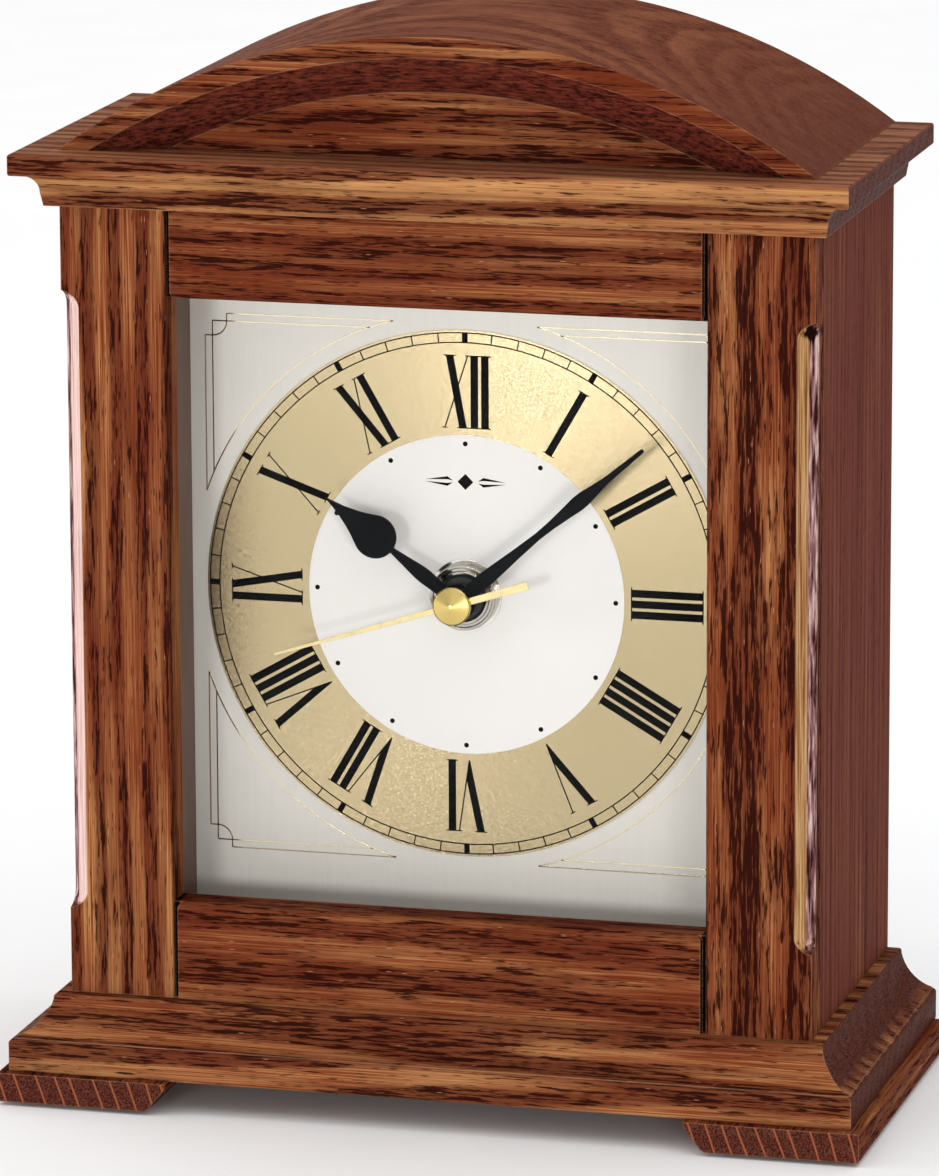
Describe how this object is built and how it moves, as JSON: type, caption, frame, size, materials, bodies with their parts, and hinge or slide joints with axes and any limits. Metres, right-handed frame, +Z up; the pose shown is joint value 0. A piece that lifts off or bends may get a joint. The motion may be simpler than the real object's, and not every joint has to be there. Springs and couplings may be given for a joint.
{
  "type": "mantel clock",
  "caption": "Mantel clock with an arched hood, a moulded oak case and a square glazed window over a round Roman chapter ring, driven by a quartz movement.",
  "frame": {"origin": "middle of the footprint on the surface that the clock stands on, under its felt pads", "axes": "+Z up, the dial faces -Y, +X to the right as seen from the front"},
  "size_m": [0.1626, 0.0782, 0.1999],
  "materials": {
    "oak": "glossy brown stain over open-pored oak",
    "oak_feet": "dark stain on end grain",
    "felt": "pressed felt",
    "pine": "bare softwood",
    "back_board": "black painted fibreboard",
    "screw_brass": "plain",
    "screw_steel": "zinc plated",
    "glass": "clear",
    "liner": "dark brown lacquer",
    "dial_silver": "fine brushed",
    "dial_gold": "circular brushed, gold lacquer",
    "dial_white": "satin white",
    "nut_chrome": "polished",
    "gasket_rubber": "matt",
    "hand_black": "satin black",
    "hand_gold": "gold lacquer",
    "movement_black": "moulded",
    "wheel_plastic": "moulded",
    "pipe_brass": "turned",
    "magnet": "sintered magnet",
    "soft_iron": "stamped",
    "copper_wire": "enamelled copper wire",
    "board_green": "solder resist",
    "crystal_can": "drawn can",
    "chip_black": "epoxy",
    "contact_nickel": "nickel plated spring steel",
    "battery_sleeve": "plain printed sleeve"
  },
  "bodies": {
    "clock": {"stile_left": "oak", "stile_right": "oak", "rail_upper": "oak", "rail_lower": "oak", "side_panel_left": "oak", "side_panel_right": "oak", "cornice": "oak", "hood": "oak", "tympanum_panel": "oak", "base_board": "oak", "foot_runner_left": "oak_feet", "foot_runner_right": "oak_feet", "foot_pads": "felt", "corner_blocks": "pine", "back_panel": "back_board", "base_screws": "screw_brass", "cornice_screws": "screw_brass", "back_screws": "screw_steel", "dial_screws": "screw_steel", "glass": "glass", "liner_left": "liner", "liner_right": "liner", "liner_top": "liner", "liner_bottom": "liner", "dial_plate": "dial_silver", "chapter_ring": "dial_gold", "dial_centre": "dial_white", "dial_nut": "nut_chrome", "dial_washer": "nut_chrome", "gasket": "gasket_rubber", "movement_case": "movement_black", "movement_cover": "movement_black", "bearing_plate": "wheel_plastic", "coil_bobbin": "wheel_plastic", "stator": "soft_iron", "coil_core": "soft_iron", "coil_winding": "copper_wire", "circuit_board": "board_green", "quartz_crystal": "crystal_can", "driver_chip": "chip_black", "contact_positive": "contact_nickel", "contact_negative": "contact_nickel", "battery": "battery_sleeve"},
    "second_train": {"second_wheel": "wheel_plastic", "second_hand": "hand_gold", "second_cap": "hand_gold"},
    "minute_train": {"minute_pipe": "pipe_brass", "minute_hand": "hand_black"},
    "hour_train": {"hour_wheel": "wheel_plastic", "hour_hand": "hand_black"},
    "centre_gear": {"centre_wheel": "wheel_plastic"},
    "third_gear": {"third_wheel": "wheel_plastic"},
    "fifth_gear": {"fifth_wheel": "wheel_plastic"},
    "step_rotor": {"rotor": "magnet"},
    "intermediate_gear": {"intermediate_wheel": "wheel_plastic"},
    "setting_gear": {"setting_knob": "wheel_plastic"}
  },
  "joints": [
    {"name": "second_hand_turn", "type": "hinge", "parent": "clock", "child": "second_train", "pos_m": [0, 0, 0.0937], "axis": [0, 1, 0], "continuous": true},
    {"name": "third_wheel_turn", "type": "hinge", "parent": "clock", "child": "third_gear", "pos_m": [-0.01224, 0, 0.0937], "axis": [0, 1, 0], "continuous": true},
    {"name": "fifth_wheel_turn", "type": "hinge", "parent": "clock", "child": "fifth_gear", "pos_m": [0.00886, 0, 0.09214], "axis": [0, 1, 0], "continuous": true},
    {"name": "rotor_turn", "type": "hinge", "parent": "clock", "child": "step_rotor", "pos_m": [0.01648, 0, 0.08859], "axis": [0, 1, 0], "continuous": true},
    {"name": "centre_wheel_turn", "type": "hinge", "parent": "clock", "child": "centre_gear", "pos_m": [0, 0, 0.0937], "axis": [0, 1, 0], "continuous": true},
    {"name": "minute_hand_turn", "type": "hinge", "parent": "clock", "child": "minute_train", "pos_m": [0, 0, 0.0937], "axis": [0, 1, 0], "continuous": true},
    {"name": "hour_hand_turn", "type": "hinge", "parent": "clock", "child": "hour_train", "pos_m": [0, 0, 0.0937], "axis": [0, 1, 0], "continuous": true},
    {"name": "intermediate_wheel_turn", "type": "hinge", "parent": "clock", "child": "intermediate_gear", "pos_m": [0, 0, 0.1057], "axis": [0, 1, 0], "continuous": true},
    {"name": "setting_knob_turn", "type": "hinge", "parent": "clock", "child": "setting_gear", "pos_m": [-0.01169, 0, 0.11245], "axis": [0, 1, 0], "continuous": true}
  ],
  "couplings": [
    {"joint": "fifth_wheel_turn", "follows": "second_hand_turn", "ratio": -5},
    {"joint": "rotor_turn", "follows": "second_hand_turn", "ratio": 30},
    {"joint": "third_wheel_turn", "follows": "second_hand_turn", "ratio": -0.13333},
    {"joint": "centre_wheel_turn", "follows": "second_hand_turn", "ratio": 0.016667},
    {"joint": "intermediate_wheel_turn", "follows": "minute_hand_turn", "ratio": -0.33333},
    {"joint": "hour_hand_turn", "follows": "minute_hand_turn", "ratio": 0.083333},
    {"joint": "setting_knob_turn", "follows": "minute_hand_turn", "ratio": 0.66667}
  ]
}
